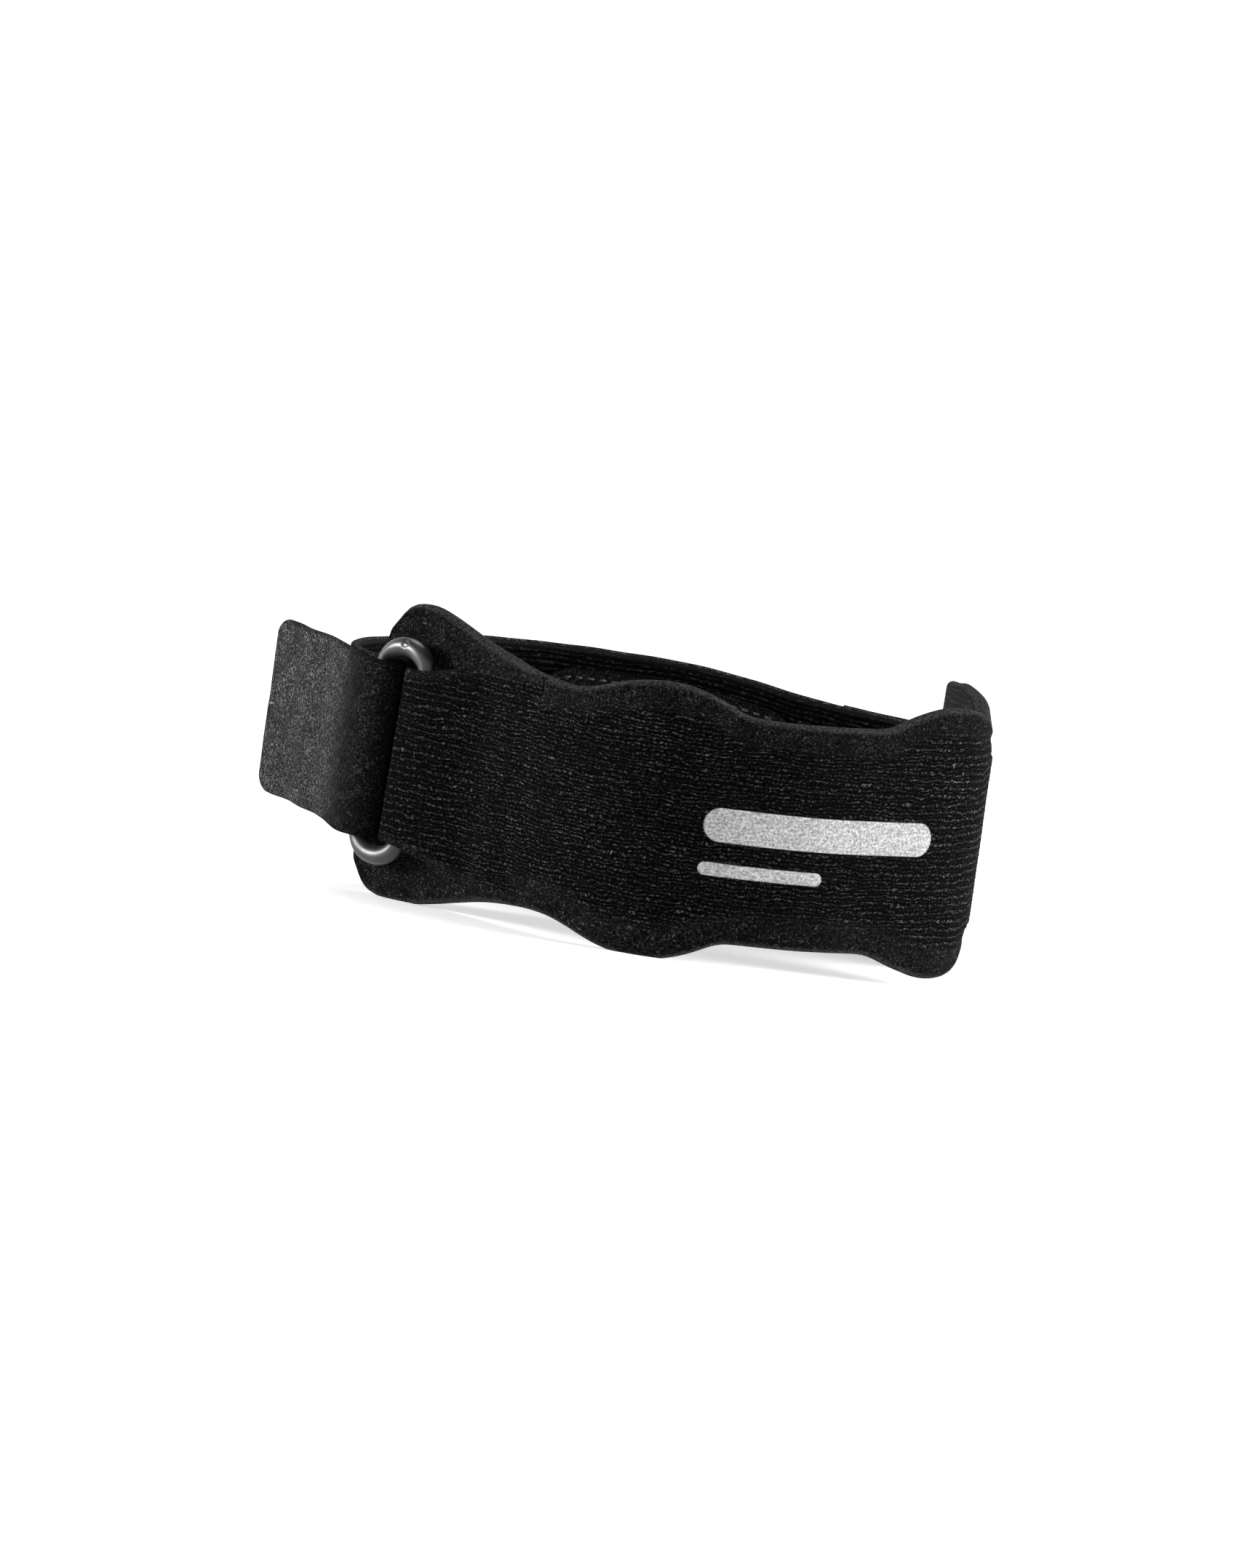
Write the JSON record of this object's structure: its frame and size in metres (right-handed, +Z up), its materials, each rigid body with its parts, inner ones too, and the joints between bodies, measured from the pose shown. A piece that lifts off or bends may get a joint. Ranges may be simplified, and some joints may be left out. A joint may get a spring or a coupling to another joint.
{
  "type": "patella strap",
  "caption": "Loop strap for below the kneecap: a contoured ribbed-knit foam panel in front, a velour strap behind, fastened through oval rings.",
  "frame": {"origin": "centre of the bounding box in plan, on the surface that the lower rim of the panel rests on", "axes": "+X to the wearer's left across the front panel, +Z up along the leg, -Y towards the front where the panel's bulges are"},
  "size_m": [0.1376, 0.1068, 0.0551],
  "materials": {
    "knit": "charcoal ribbed knit with smooth brushed margins",
    "velour": "charcoal brushed loop velour",
    "ring_plastic": "satin moulded nylon"
  },
  "bodies": {
    "root": {"front_pad": "knit", "knit_flap_left": "knit", "knit_flap_right": "knit", "ring_left": "ring_plastic", "ring_right": "ring_plastic", "strap": "velour", "inner_patch": "velour"}
  },
  "joints": []
}
